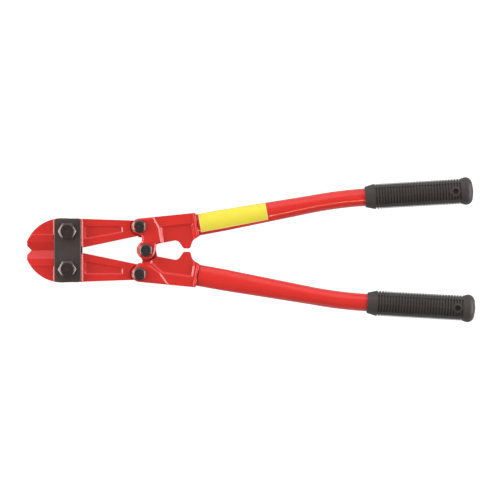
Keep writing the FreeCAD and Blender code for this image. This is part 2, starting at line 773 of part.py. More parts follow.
def grip(name, flip):
    """Rubber grip, closed at its end; its origin is the middle of its mouth."""
    body = new_body(name)
    sketch = new_sketch(body, "grip_section")
    polygon(sketch, [
        ("0", "tube_diameter / 2"),
        ("grip_length - grip_floor", "tube_diameter / 2"),
        ("grip_length - grip_floor", "0"),
        ("grip_length", "0"),
        ("grip_length", "flange_diameter / 2", "end_round"),
        ("grip_length - flange_length", "flange_diameter / 2"),
        ("grip_length - flange_length - flange_slope", "grip_diameter / 2"),
        ("grip_taper", "grip_diameter / 2"),
        ("0", "grip_mouth / 2"),
    ])
    turned = body.newObject("PartDesign::Revolution", "turned")
    turned.Profile = sketch
    turned.ReferenceAxis = (axis(body, "X_Axis"), [""])
    turned.Angle = 360
    doc.recompute()
    sketch = new_sketch(body, "hole_outline", lift="tube_diameter / 2 + hole_floor")
    circle(sketch, "grip_length - flange_length - hole_place", "0", "hole_diameter / 2")
    hole = cut(body, "hanging_hole", sketch, "grip_diameter", up=True)
    mirror(body, "other_hole", [hole])
    path_x = f"(straight_length + bend_radius * sin({BEND}))"
    path_y = f"(-bend_radius * (1 - cos({BEND})))"
    x = f"{LINK_X} + tube_start + {path_x} * cos(handle_angle) - {path_y} * sin(handle_angle)"
    y = f"{LINK_HALF} + tube_rise + {path_x} * sin(handle_angle) + {path_y} * cos(handle_angle)"
    put(body, x, y, turn="grip_angle", flip=flip)


def axis(body, role):
    """One of a body's own origin axes."""
    return next(item for item in body.Origin.OriginFeatures if item.Role == role)


def strap(name, z, flip=False):
    """Flat plate that joins the two jaw bolts; its origin is midway between them."""
    body = new_body(name)
    sketch = new_sketch(body, "plate_outline")
    wide = "strap_width / 2"
    long = "strap_length / 2"
    near = "(strap_width / 2 - strap_corner)"
    short = "(strap_length / 2 - strap_corner)"
    polygon(sketch, [
        (wide, f"-{short}"), (wide, short), (near, long), (f"-{near}", long),
        (f"-{wide}", short), (f"-{wide}", f"-{short}"), (f"-{near}", f"-{long}"), (near, f"-{long}"),
    ])
    pad(body, "plate", sketch, "strap_thick")
    chamfer(body, "plate_bevel", "strap_bevel",
            lambda edge: edge.BoundBox.ZMin > number("strap_thick") - SLIVER)
    sketch = new_sketch(body, "bolt_holes", lift="strap_thick")
    circle(sketch, "0", JAW_HALF, "jaw_bolt_shank / 2 + running_fit")
    circle(sketch, "0", f"-{JAW_HALF}", "jaw_bolt_shank / 2 + running_fit")
    cut(body, "holes", sketch, "strap_thick")
    put(body, JAW_X, "0", z, flip=flip)


def hexagon(sketch, flats, turn=0):
    """Draw a hexagon by its width across flats."""
    corners = [(f"{flats} / sqrt(3) * cos({60 * i + turn})", f"{flats} / sqrt(3) * sin({60 * i + turn})")
               for i in range(6)]
    polygon(sketch, corners)


def crown(body, flats, height):
    """Turn the corners off the outer face of a hexagon."""
    sketch = new_sketch(body, "crown_profile", role="XZ_Plane")
    inner = f"(crown_share * {flats})"
    polygon(sketch, [
        (inner, height),
        (flats, f"{height} - ({flats} - {inner}) * tan(crown_angle)"),
        (flats, f"{height} * 2"),
        (inner, f"{height} * 2"),
    ])
    groove = body.newObject("PartDesign::Groove", "crown")
    groove.Profile = sketch
    groove.ReferenceAxis = (axis(body, "Z_Axis"), [""])
    groove.Angle = 360
    doc.recompute()


def bolt(name, x, y, seat, shank, flats, head, reach, turn=0):
    """Hexagon bolt; its origin is the underside of its head."""
    body = new_body(name)
    sketch = new_sketch(body, "head_outline")
    hexagon(sketch, flats, turn)
    pad(body, "head", sketch, head)
    crown(body, flats, head)
    sketch = new_sketch(body, "centre_mark", lift=head)
    circle(sketch, "0", "0", "mark_radius")
    cut(body, "mark", sketch, "mark_depth")
    sketch = new_sketch(body, "shank_outline")
    circle(sketch, "0", "0", f"{shank} / 2")
    pad(body, "shank", sketch, reach, down=True)
    chamfer(body, "end_bevel", "shank_bevel",
            lambda edge: edge.BoundBox.ZMax < -number(reach) + SLIVER)
    put(body, x, y, f"{MIDDLE} + {seat}")


def nut(name, x, y, seat, shank, flats, height, turn=0):
    """Hexagon nut, hanging from the face it is screwed against."""
    body = new_body(name)
    sketch = new_sketch(body, "nut_outline")
    hexagon(sketch, flats, turn)
    pad(body, "block", sketch, height)
    crown(body, flats, height)
    sketch = new_sketch(body, "bore_outline", lift=height)
    circle(sketch, "0", "0", f"{shank} / 2")
    cut(body, "bore", sketch, height)
    put(body, x, y, f"{MIDDLE} - {seat}", flip=True)


def washer(name, x, y, z):
    """Plain washer; its origin is its underside."""
    body = new_body(name)
    sketch = new_sketch(body, "ring_outline")
    circle(sketch, "0", "0", "washer_diameter / 2")
    circle(sketch, "0", "0", "link_bolt_shank / 2")
    pad(body, "ring", sketch, "washer_thick")
    put(body, x, y, z)


def jaw_fasteners():
    """Two bolts and nuts that hold the straps and carry the jaws."""
    plate = "(seat_thick / 2 + side_gap + strap_thick)"
    for side, y in (("upper", JAW_HALF), ("lower", f"-{JAW_HALF}")):
        bolt(f"{side}_jaw_bolt", JAW_X, y, plate, "jaw_bolt_shank", "jaw_bolt_flats", "jaw_bolt_head",
             f"(2 * {plate} + jaw_nut_height)")
        nut(f"{side}_jaw_nut", JAW_X, f"-({y})", plate, "jaw_bolt_shank", "jaw_bolt_flats",
            "jaw_nut_height")


def link_fasteners():
    """Bolts, washers and nuts of the two link pivots and the centre pivot."""
    face = "(cheek_thick / 2)"
    places = (("upper_link", LINK_X, LINK_HALF), ("lower_link", LINK_X, f"-{LINK_HALF}"),
              ("centre", CENTRE_X, "0"))
    for side, x, y in places:
        bolt(f"{side}_bolt", x, y, f"({face} + washer_thick)", "link_bolt_shank", "link_bolt_flats",
             "link_bolt_head", f"(2 * ({face} + washer_thick) + link_nut_height)", turn=30)
        washer(f"{side}_front_washer", x, y, f"{MIDDLE} + {face}")
        washer(f"{side}_rear_washer", x, y, f"{MIDDLE} - {face} - washer_thick")
        nut(f"{side}_nut", x, f"-({y})", f"({face} + washer_thick)", "link_bolt_shank", "link_bolt_flats",
            "link_nut_height", turn=30)


def check_document():
    """Stop if anything in the document failed."""
    for item in doc.Objects:
        if {"Invalid", "Error"} & set(item.State):
            raise RuntimeError(f"{item.Label} failed: {item.State}")
    for body in doc.findObjects("PartDesign::Body"):
        if body.Shape.isNull() or not body.Shape.isValid() or len(body.Shape.Solids) != 1:
            raise RuntimeError(f"{body.Label} has no valid solid")


def export():
    """Write one STEP file for each sub-part."""
    os.makedirs("parts", exist_ok=True)
    for body in doc.findObjects("PartDesign::Body"):
        body.Shape.exportStep(f"parts/{body.Label}.step")


fill_sheet()
running_bore = "(link_bolt_shank / 2 + running_fit)"
slack_bore = "(link_bolt_shank / 2 + running_fit + pivot_slack)"
for half, flipped, centre_bore in (("upper", False, running_bore), ("lower", True, slack_bore)):
    jaw(f"{half}_jaw", flipped)
    handle_head(f"{half}_handle_head", flipped, centre_bore)
    tube(f"{half}_tube", flipped)
    grip(f"{half}_grip", flipped)
strap("front_strap", f"{MIDDLE} + seat_thick / 2 + side_gap")
strap("rear_strap", f"{MIDDLE} - seat_thick / 2 - side_gap", flip=True)
jaw_fasteners()
link_fasteners()
doc.recompute()
check_document()
export()
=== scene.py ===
import math

import bmesh
import bpy
import numpy
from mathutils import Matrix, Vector
from mathutils.bvhtree import BVHTree


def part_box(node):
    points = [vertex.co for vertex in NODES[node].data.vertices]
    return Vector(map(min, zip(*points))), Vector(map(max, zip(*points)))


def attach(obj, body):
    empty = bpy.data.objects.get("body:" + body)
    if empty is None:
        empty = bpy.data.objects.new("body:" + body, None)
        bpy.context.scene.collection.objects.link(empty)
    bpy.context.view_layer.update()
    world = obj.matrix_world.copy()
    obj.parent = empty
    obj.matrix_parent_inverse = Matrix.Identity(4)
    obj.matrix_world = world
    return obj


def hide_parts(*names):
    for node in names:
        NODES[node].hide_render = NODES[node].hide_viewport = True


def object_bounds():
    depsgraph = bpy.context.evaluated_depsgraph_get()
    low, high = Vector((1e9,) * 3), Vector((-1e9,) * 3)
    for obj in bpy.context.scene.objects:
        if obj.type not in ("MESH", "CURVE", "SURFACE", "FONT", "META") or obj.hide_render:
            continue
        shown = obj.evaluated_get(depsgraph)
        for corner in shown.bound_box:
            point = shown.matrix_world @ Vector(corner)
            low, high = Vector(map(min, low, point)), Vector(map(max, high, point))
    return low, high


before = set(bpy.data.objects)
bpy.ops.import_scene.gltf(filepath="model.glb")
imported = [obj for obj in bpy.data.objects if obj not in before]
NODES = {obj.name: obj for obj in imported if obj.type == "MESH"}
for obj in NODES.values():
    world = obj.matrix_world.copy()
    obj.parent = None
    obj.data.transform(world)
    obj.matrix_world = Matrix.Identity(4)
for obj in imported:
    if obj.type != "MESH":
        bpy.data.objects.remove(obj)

bpy.context.view_layer.update()
CAD_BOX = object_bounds()

bl_info = {
    "name": "Bolt Cutters",
    "version": (1, 0, 0),
    "blender": (4, 5, 0),
    "location": "3D View > Sidebar > Bolt Cutters",
    "description": "Enamel, black oxide, ribbed rubber grips, a bare label and a plain studio",
    "category": "Object",
}

MM = 0.001
UP = Vector((0, 0, 1))
SIDES = ("upper", "lower")
HAIR = 0.01 * MM                 # places nearer than this are the same
SMOOTH_ANGLE = math.radians(38)  # edges of the made pieces that are sharper than this stay crisp

# patterns, by the size of what they are made of
PAINT_DRIFT = 22 * MM            # patches where the spray lay thicker
ORANGE_PEEL = 1.8 * MM
FORGED_SKIN = 0.9 * MM
SHADE_REACH = 2.2 * MM           # reach of the painted shade, from the face across the corner
TUMBLED_GRAIN = 0.8 * MM         # really about 0.1 mm, drawn coarser so that it shows
OXIDE_PATCHES = 7 * MM
RUBBED_GLINT_REACH = 0.5 * MM          # from the edge, for rubbed steel and painted highlight
PLATED_GRAIN = 0.5 * MM          # really under 0.1 mm, drawn coarser so that it shows
RUBBER_GRAIN = 0.6 * MM          # really about 0.1 mm, drawn coarser so that it shows
RUBBER_PATCHES = 14 * MM
INK_PATCHES = 9 * MM
VINYL_WAVES = 3 * MM             # where the film lies a little uneven on its glue

# how patterns are read
PATCHES = (0.35, 0.65)           # part of a noise's range over which patches fade
GRAIN = (0.3, 0.7)               # part of a noise's range over which roughness changes
LEAN = (0.995, 0.85)             # cosine of an edge's lean where wear and painted highlight start and are full
SKY = (0.8, 0.3)                 # share of open sky where the painted shade starts and is full
LEVEL = (0.9, 0.97)              # upright part of the normal, from sloping to level ground
MARGIN_BLUR = 0.1                # softness of the margin's inner edge, as a share of its width

# forgings, straps and fasteners
ROUND_ANGLE = math.radians(25)   # edges sharper than this are rounded
FLAT_ANGLE = math.radians(1.0)   # faces that differ by less than this are one
WELD_REACH = 0.001 * MM
EDGE_ROUND = {"jaw": 0.5 * MM, "handle_head": 0.7 * MM}
STRAP_ROUND = 0.5 * MM
FASTENER_ROUND = 0.2 * MM
JAW_GAP = 0.1 * MM               # between the closed jaws
POCKET_FLOOR = 4.1 * MM          # heights from the mid-plane between which the pockets' skin and its painted shade fade out
POCKET_RIM = 4.8 * MM            # the skin of the pockets fades out

# tubes
UPRIGHT = 0.001                  # z of the normal of a face that stands upright is less than this
JOINT_DARK = 0.9 * MM            # length of tube beside the collar that is painted dark all round, as shade in the gap
JOINT_EDGE = 1.4 * MM            # where that has faded out
# darkness of the painted shade on the tube beside the collar
JOINT_SHADE = 0.75

# grips
CLOSED_END = 5.0 * MM            # rubber of the solid beyond the end of its bore
END_TRIM = 1.8 * MM              # how much shorter a grip is than its solid
SLIDE = {"upper": 0.0, "lower": END_TRIM}   # from the mouth of its solid to the mouth of the grip
BODY_REACH = 0.38                # share of the length, each way from the middle, that is measured as body
FLARE_REACH = 0.25               # share of the length, from the closed end, that is measured as flare
TUBE_REACH = 1.0 * MM            # stretch of tube that is measured at the mouth
BORE_FIT = 0.05 * MM             # round the tube
MOUTH_ROUND = 0.6 * MM           # across
MOUTH_LEAD = 0.3                 # along, as a share of that
FLANGE_BACK = 7.6 * MM           # widest place of the flare, ahead of the closed end
FLARE_RINGS = 8
END_ROUND = 6.6 * MM
END_RINGS = 10
DOME = 1.0 * MM                  # how far the closed end stands out in its middle
DOME_RINGS = (0.75, 0.5, 0.25)   # shares of its radius
RIB = ((0.0, 0.0), (0.42, 0.0), (0.52, 1.0), (0.9, 1.0))   # share of the pitch, share of the depth
SIDE_DEPTH = 0.8                 # share by which the grooves are deeper at the grip's two sides
BAND_RAMP = math.radians(1.5)
COLUMN_STEP = math.radians(6)
BOSS_PROUD = 0.05 * MM           # the boss round the hole above the ribs
BOSS_ROOT = 0.4 * MM             # its foot in the rubber, above the bore
DRILL_REACH = 1.2                # how far out the drills begin, in radii of the flare

# label
LABEL_SEAT = 0.03 * MM           # its underside above the tube
LABEL_THICK = 0.12 * MM
LABEL_GRID = (28, 26)            # along the tube and round it
FEEL_ARC = (-100, 171, 2)        # degrees from the front crest between which the tube is felt, and the step
FEEL_FROM = 40 * MM              # from the tube's axis

# studio
WHITE = (1.0, 1.0, 1.0, 1.0)
FLOOR_SIZE = 12.0
FLOOR_DROP = 0.05 * MM           # keeps the floor clear of the lowest nuts
BRIGHT_SIDE = (0.0, 0.91, -0.42)  # towards the white side, tipped below the horizon
BRIGHT_EDGE = (0.0, 0.5)         # cosines from that direction between which it fades to the dark side
COOL = (0.82, 0.82, 0.92, 1.0)   # tint of the white side
WARM = (1.0, 0.62, 0.38)         # tint of the strip
MIRRORED_WHITE = 0.15            # share of plain white in what metal mirrors of the studio
LAMP_DISTANCE = 2.0
BOX_SIZE = (3.2, 1.2)
SPOT_SIZE = (0.8, 0.8)
STRIP_SIZE = (4.0, 0.08)
SENSOR = 36.0                    # in millimetres, as the lens is
CLIP_END = 50.0
CAMERA_ROLL = math.radians(-0.1)
OFF_CENTRE = Vector((-1.5, 0.0, 0.0)) * MM   # the camera's place from the middle of the tool


# ---------------------------------------------------------------- colours and nodes

def linear(hex_colour):
    """Turn an sRGB hex colour into the linear RGBA that shaders use."""
    parts = [int(hex_colour[i:i + 2], 16) / 255 for i in (1, 3, 5)]
    return tuple(c / 12.92 if c <= 0.04045 else ((c + 0.055) / 1.055) ** 2.4 for c in parts) + (1.0,)


def add(tree, kind, inputs=None, **settings):
    """Add a node; inputs maps sockets to values or to other nodes' outputs."""
    node = tree.nodes.new(kind)
    for name, value in settings.items():
        setattr(node, name, value)
    for key, value in (inputs or {}).items():
        if isinstance(value, bpy.types.NodeSocket):
            tree.links.new(value, node.inputs[key])
        else:
            node.inputs[key].default_value = value
    return node


def new_material(name):
    """Start a material with an empty tree."""
    material = bpy.data.materials.new(name)
    material.use_nodes = True
    material.node_tree.nodes.clear()
    return material, material.node_tree


def shade(tree, sockets):
    """End a material's tree with its shader; numbers and plain colours stay on the shader's own sockets."""
    surface = add(tree, "ShaderNodeBsdfPrincipled", sockets)
    add(tree, "ShaderNodeOutputMaterial", {"Surface": surface.outputs[0]})


def grains(tree, size, detail=2.0, roughness=0.5):
    """Noise whose blotches are about this large, fixed to the piece."""
    place = add(tree, "ShaderNodeTexCoord").outputs["Object"]
    noise = add(tree, "ShaderNodeTexNoise", {
        "Vector": place, "Scale": 1 / size, "Detail": detail, "Roughness": roughness})
    return noise.outputs["Fac"]


def darker(colour, share):
    """The same colour with less light in it."""
    return tuple(channel * share for channel in colour[:3]) + (1.0,)


def mottled(tree, pattern, colour, share):
    """A colour that keeps only this share of its light in a pattern's dark patches."""
    fade = add(tree, "ShaderNodeMapRange", {
        "Value": pattern, "From Min": PATCHES[0], "From Max": PATCHES[1]})
    patches = add(tree, "ShaderNodeMix", {
        "Factor": fade.outputs[0], "A": darker(colour, share), "B": colour}, data_type="RGBA")
    return patches.outputs["Result"]


def uneven_shine(tree, pattern, low, high):
    """A roughness that wanders between low and high with a pattern."""
    return add(tree, "ShaderNodeMapRange", {
        "Value": pattern, "From Min": GRAIN[0], "From Max": GRAIN[1],
        "To Min": low, "To Max": high}).outputs[0]


def edge_wear_and_glint(tree):
    """1 on sharp outside edges and 0 on flats, from how far a rounded normal leans; partly painted
    highlight.
    """
    rounded = add(tree, "ShaderNodeBevel", {"Radius": RUBBED_GLINT_REACH}, samples=4).outputs[0]
    flat = add(tree, "ShaderNodeNewGeometry").outputs["Normal"]
    lean = add(tree, "ShaderNodeVectorMath", {0: rounded, 1: flat}, operation="DOT_PRODUCT")
    return add(tree, "ShaderNodeMapRange", {
        "Value": lean.outputs["Value"], "From Min": LEAN[0], "From Max": LEAN[1]}).outputs[0]


def painted_corner_shade(tree):
    """Painted shade: 0 in the open and 1 deep in a corner or in the gap between two pieces."""
    sky = add(tree, "ShaderNodeAmbientOcclusion", {"Distance": SHADE_REACH}, samples=8)
    return add(tree, "ShaderNodeMapRange", {
        "Value": sky.outputs["AO"], "From Min": SKY[0], "From Max": SKY[1]}).outputs[0]


def shaded_pocket_floors(tree, middle):
    """1 on level ground at the bottom of a pocket, 0 beyond its rim and on every slope: partly painted
    shade.

    middle is the height of the forgings' mid-plane, from which both sides' pockets are measured.
    """
    place = add(tree, "ShaderNodeTexCoord").outputs
    z = add(tree, "ShaderNodeSeparateXYZ", {0: place["Object"]}).outputs["Z"]
    lift = add(tree, "ShaderNodeMath", {0: z, 1: middle}, operation="SUBTRACT").outputs[0]
    height = add(tree, "ShaderNodeMath", {0: lift}, operation="ABSOLUTE").outputs[0]
    deep = add(tree, "ShaderNodeMapRange", {
        "Value": height, "From Min": POCKET_FLOOR, "From Max": POCKET_RIM, "To Min": 1.0, "To Max": 0.0})
    facing = add(tree, "ShaderNodeSeparateXYZ", {0: place["Normal"]}).outputs["Z"]
    upright = add(tree, "ShaderNodeMath", {0: facing}, operation="ABSOLUTE").outputs[0]
    flat = add(tree, "ShaderNodeMapRange", {"Value": upright, "From Min": LEVEL[0], "From Max": LEVEL[1]})
    both = add(tree, "ShaderNodeMath", {0: deep.outputs[0], 1: flat.outputs[0]}, operation="MULTIPLY")
    return both.outputs[0]


def shade_beside_collar(tree, mouth, along):
    """Painted shade on the first stretch of a tube beside the collar, for the gap's shadow, and 0 beyond
    it.
    """
    place = add(tree, "ShaderNodeTexCoord").outputs["Object"]
    reach = add(tree, "ShaderNodeVectorMath", {0: place, 1: along}, operation="DOT_PRODUCT")
    begin = mouth.dot(along)
    return add(tree, "ShaderNodeMapRange", {
        "Value": reach.outputs["Value"], "From Min": begin + JOINT_DARK, "From Max": begin + JOINT_EDGE,
        "To Min": JOINT_SHADE, "To Max": 0.0}).outputs[0]


# ---------------------------------------------------------------- settings

class PaintSettings(bpy.types.PropertyGroup):
    """Colours of the red enamel."""
    face: bpy.props.FloatVectorProperty(
        name="Faces", description="Enamel on the ground and struck faces of the forgings",
        subtype="COLOR", size=4, min=0, max=1, default=linear("#DE3029"))
    # darker colour of the pocket floors: partly rougher forged skin, partly painted shade in the recesses
    skin: bpy.props.FloatVectorProperty(
        name="Pocket floors", description="Enamel on the rougher forged skin in the pockets",
        subtype="COLOR", size=4, min=0, max=1, default=linear("#D53029"))
    tube: bpy.props.FloatVectorProperty(
        name="Tubes", description="Enamel on the drawn handle tubes",
        subtype="COLOR", size=4, min=0, max=1, default=linear("#E2312A"))


class SteelSettings(bpy.types.PropertyGroup):
    """Colours of the blackened and plated steel."""
    strap: bpy.props.FloatVectorProperty(
        name="Straps", description="Black oxide on the two straps",
        subtype="COLOR", size=4, min=0, max=1, default=linear("#544A46"))
    bolt: bpy.props.FloatVectorProperty(
        name="Bolts and nuts", description="Black oxide on bolts and nuts",
        subtype="COLOR", size=4, min=0, max=1, default=linear("#6C615C"))
    # pale edge colour: partly steel where the oxide has rubbed thin, partly painted highlight
    worn_and_glint: bpy.props.FloatVectorProperty(
        name="Rubbed edges", description="Steel that shows where the oxide has rubbed thin",
        subtype="COLOR", size=4, min=0, max=1, default=linear("#A89C98"))
    washer: bpy.props.FloatVectorProperty(
        name="Washers", description="Bright zinc on the washers",
        subtype="COLOR", size=4, min=0, max=1, default=linear("#8E8884"))


class GripSettings(bpy.types.PropertyGroup):
    """Sizes and colour of the two rubber grips."""
    rubber: bpy.props.FloatVectorProperty(
        name="Rubber", description="Colour of the moulded rubber",
        subtype="COLOR", size=4, min=0, max=1, default=linear("#45403D"))
    rib_pitch: bpy.props.FloatProperty(
        name="Rib pitch", description="Distance from one rib to the next",
        subtype="DISTANCE", unit="LENGTH", default=2.85 * MM)
    rib_depth: bpy.props.FloatProperty(
        name="Rib depth", description="Depth of the grooves between the ribs",
        subtype="DISTANCE", unit="LENGTH", default=1.2 * MM)
    cone: bpy.props.FloatProperty(
        name="Mouth cone", description="Length of the smooth cone at the mouth",
        subtype="DISTANCE", unit="LENGTH", default=9 * MM)
    flare: bpy.props.FloatProperty(
        name="Flare", description="Length of the smooth flare at the closed end",
        subtype="DISTANCE", unit="LENGTH", default=13 * MM)
    band: bpy.props.FloatProperty(
        name="Narrow bands", description="Half the angle of the smooth bands over the two mould lines",
        subtype="ANGLE", default=math.radians(1.2))
    panel: bpy.props.FloatProperty(
        name="Broad bands", description="Half the angle of the four broad smooth bands",
        subtype="ANGLE", default=math.radians(9.5))
    panel_turn: bpy.props.FloatProperty(
        name="Broad bands' place", description="From a mould line round to the middle of a broad band",
        subtype="ANGLE", default=math.radians(52))
    boss: bpy.props.FloatProperty(
        name="Boss", description="Radius of the smooth ring round the hanging hole",
        subtype="DISTANCE", unit="LENGTH", default=4.85 * MM)
    hole: bpy.props.FloatProperty(
        name="Hanging hole", description="Radius of the blind hole",
        subtype="DISTANCE", unit="LENGTH", default=2.8 * MM)
    hole_place: bpy.props.FloatProperty(
        name="Hole's place", description="From the closed end to the middle of the hole",
        subtype="DISTANCE", unit="LENGTH", default=18.5 * MM)
    wall: bpy.props.FloatProperty(
        name="Hole floor", description="Rubber left between the hole and the tube",
        subtype="DISTANCE", unit="LENGTH", default=0.6 * MM)


class LabelSettings(bpy.types.PropertyGroup):
    """Size, place and colours of the label on the upper tube."""
    vinyl: bpy.props.FloatVectorProperty(
        name="Vinyl", description="Colour of the bare label",
        subtype="COLOR", size=4, min=0, max=1, default=linear("#EFDF4B"))
    margin: bpy.props.FloatVectorProperty(
        name="Margin", description="Colour of the unprinted margin",
        subtype="COLOR", size=4, min=0, max=1, default=linear("#F6EC86"))
    start: bpy.props.FloatProperty(
        name="Start", description="From the tube's head end to the label",
        subtype="DISTANCE", unit="LENGTH", default=2.5 * MM)
    length: bpy.props.FloatProperty(
        name="Length", description="Length along the tube",
        subtype="DISTANCE", unit="LENGTH", default=68 * MM)
    inner: bpy.props.FloatProperty(
        name="Inner reach", description="Round the tube from its front crest to the label's inner edge",
        subtype="DISTANCE", unit="LENGTH", default=8.1 * MM)
    outer: bpy.props.FloatProperty(
        name="Outer reach", description="Round the tube from its front crest to the label's outer edge",
        subtype="DISTANCE", unit="LENGTH", default=17 * MM)
    border: bpy.props.FloatProperty(
        name="Border", description="Width of the unprinted margin",
        subtype="DISTANCE", unit="LENGTH", default=0.8 * MM)


class StudioSettings(bpy.types.PropertyGroup):
    """Camera, floor and light."""
    view_width: bpy.props.FloatProperty(
        name="View width", description="Width of the view, at the height of the tool's mid-plane",
        subtype="DISTANCE", unit="LENGTH", default=500 * MM)
    lens: bpy.props.FloatProperty(
        name="Lens", description="Focal length in millimetres", default=150)
    floor: bpy.props.FloatVectorProperty(
        name="Floor", description="Colour of the floor",
        subtype="COLOR", size=4, min=0, max=1, default=linear("#A8A8A8"))
    glow: bpy.props.FloatProperty(
        name="Floor glow", description="White added to the floor as it is seen, for a plain white ground",
        min=0, max=1, default=0.9)
    bright: bpy.props.FloatProperty(
        name="Bright side", description="Light from the studio's white side, beyond the upper handle",
        default=0.9)
    dark: bpy.props.FloatProperty(
        name="Dark side", description="Light from overhead and from the near side", default=0.05)
    panel_light: bpy.props.FloatProperty(
        name="End panels", description="Power of the soft box at each end in watts", default=49)
    fill_light: bpy.props.FloatProperty(
        name="Fills", description="Power of the small lamp above each end panel in watts", default=7)
    key_light: bpy.props.FloatProperty(
        name="Key", description="Power of the key lamp on the far side in watts", default=7)
    strip_light: bpy.props.FloatProperty(
        name="Strip", description="Power of the long strip on the near side in watts", default=24)


# ---------------------------------------------------------------- materials

def enamel(name, face, skin=None, middle=None, joint=None, flow=0.08):
    """Baked gloss enamel sprayed over steel.

    It gives an even, deep red with a soft-edged reflection, a faint orange peel, painted shade in corners
    and where pieces meet, and on the floors of the forgings' pockets a rougher skin that is darker, partly
    as painted shade.
    middle is the height of the forgings' mid-plane, joint a tube's mouth and its direction, and flow how
    rough the clear top of the enamel dried.
    """
    material, tree = new_material(name)
    drift = grains(tree, PAINT_DRIFT)
    colour = mottled(tree, drift, face, share=0.95)
    peel = grains(tree, ORANGE_PEEL, detail=1)
    # pocket floors darker: partly rougher forged skin, partly painted shade in the recesses
    if skin:
        sunk_and_shaded = shaded_pocket_floors(tree, middle)
        colour = add(tree, "ShaderNodeMix", {"Factor": sunk_and_shaded, "A": colour, "B": skin},
                     data_type="RGBA").outputs["Result"]
        rough = grains(tree, FORGED_SKIN, detail=3)
        peel = add(tree, "ShaderNodeMix", {"Factor": sunk_and_shaded, "A": peel, "B": rough},
                   data_type="FLOAT").outputs["Result"]
    # painted shade: darker in corners and gaps between pieces, and on the tube beside the collar
    painted_shade = painted_corner_shade(tree)
    if joint:
        painted_shade = add(tree, "ShaderNodeMath", {0: painted_shade, 1: shade_beside_collar(tree, *joint)},
                    operation="MAXIMUM").outputs[0]
    shaded_colour = add(tree, "ShaderNodeMix", {"Factor": painted_shade, "A": colour, "B": darker(face, share=0.25)},
                 data_type="RGBA")
    relief = add(tree, "ShaderNodeBump", {"Height": peel, "Distance": 0.004 * MM})
    shade(tree, {
        "Base Color": shaded_colour.outputs["Result"], "Roughness": uneven_shine(tree, drift, low=0.14, high=0.19),
        "Normal": relief.outputs[0], "IOR": 1.5, "Coat Weight": 0.5, "Coat Roughness": flow})
    return material


def black_oxide(name, colour, worn_and_glint, metallic, roughness):
    """Hot black oxide on steel: a thin brown-black skin through which the metal still shines.

    It gives dark faces with clear highlights, thin pale lines on the edges that are partly rubbed steel and
    partly painted highlight, and a fine tumbled grain.
    """
    material, tree = new_material(name)
    grain = grains(tree, TUMBLED_GRAIN, detail=4, roughness=0.6)
    skin = mottled(tree, grains(tree, OXIDE_PATCHES, detail=3), colour, share=0.85)
    # pale edges: partly rubbed steel, partly painted highlight
    rubbed = add(tree, "ShaderNodeMix", {"Factor": edge_wear_and_glint(tree), "A": skin, "B": worn_and_glint}, data_type="RGBA")
    relief = add(tree, "ShaderNodeBump", {"Height": grain, "Distance": 0.003 * MM})
    shade(tree, {
        "Base Color": rubbed.outputs["Result"], "Metallic": metallic, "Normal": relief.outputs[0],
        "Roughness": uneven_shine(tree, grain, low=roughness - 0.04, high=roughness + 0.06)})
    return material


def zinc(name, colour):
    """Bright zinc plate on punched steel: a pale grey metal with a soft, finely grained shine."""
    material, tree = new_material(name)
    grain = grains(tree, PLATED_GRAIN, detail=3)
    relief = add(tree, "ShaderNodeBump", {"Height": grain, "Distance": 0.01 * MM})
    shade(tree, {
        "Base Color": colour, "Metallic": 1.0, "Normal": relief.outputs[0],
        "Roughness": uneven_shine(tree, grain, low=0.24, high=0.42)})
    return material


def moulded_rubber(name, colour):
    """Soft moulded rubber with carbon black in it.

    It gives a warm near-black with a broad dull shine, in slightly uneven patches.
    """
    material, tree = new_material(name)
    grain = grains(tree, RUBBER_GRAIN, detail=3)
    relief = add(tree, "ShaderNodeBump", {"Height": grain, "Distance": 0.02 * MM})
    shade(tree, {
        "Base Color": mottled(tree, grains(tree, RUBBER_PATCHES, detail=3), colour, share=0.86),
        "Roughness": uneven_shine(tree, grain, low=0.38, high=0.46), "Normal": relief.outputs[0],
        "IOR": 1.5, "Specular IOR Level": 0.4})
    return material


def vinyl(name, colour, margin, length, width, border):
    """Self-adhesive vinyl, printed yellow and left bare inside an unprinted margin.

    It gives a flat, bright yellow with a soft gloss and a paler thin line round it.
    """
    material, tree = new_material(name)
    place = add(tree, "ShaderNodeUVMap", uv_map="millimetres").outputs[0]
    across = add(tree, "ShaderNodeSeparateXYZ", {0: place}).outputs
    edges = []
    for output, size in ((across["X"], length), (across["Y"], width)):
        half = size / MM / 2
        lean = add(tree, "ShaderNodeMath", {0: output, 1: half}, operation="SUBTRACT").outputs[0]
        away = add(tree, "ShaderNodeMath", {0: lean}, operation="ABSOLUTE").outputs[0]
        edge = add(tree, "ShaderNodeMapRange", {
            "Value": away, "From Min": half - border / MM * (1 + MARGIN_BLUR),
            "From Max": half - border / MM * (1 - MARGIN_BLUR)})
        edges.append(edge.outputs[0])
    rim = add(tree, "ShaderNodeMath", {0: edges[0], 1: edges[1]}, operation="MAXIMUM").outputs[0]
    ink = mottled(tree, grains(tree, INK_PATCHES, detail=3), colour, share=0.97)
    printed = add(tree, "ShaderNodeMix", {"Factor": rim, "A": ink, "B": margin}, data_type="RGBA")
    shade(tree, {
        "Base Color": printed.outputs["Result"], "IOR": 1.46,
        "Roughness": uneven_shine(tree, grains(tree, VINYL_WAVES), low=0.3, high=0.38)})
    return material


# ---------------------------------------------------------------- helpers for pieces

def dress(node, material):
    """Give a CAD node its finish."""
    mesh = NODES[node].data
    mesh.materials.clear()
    mesh.materials.append(material)


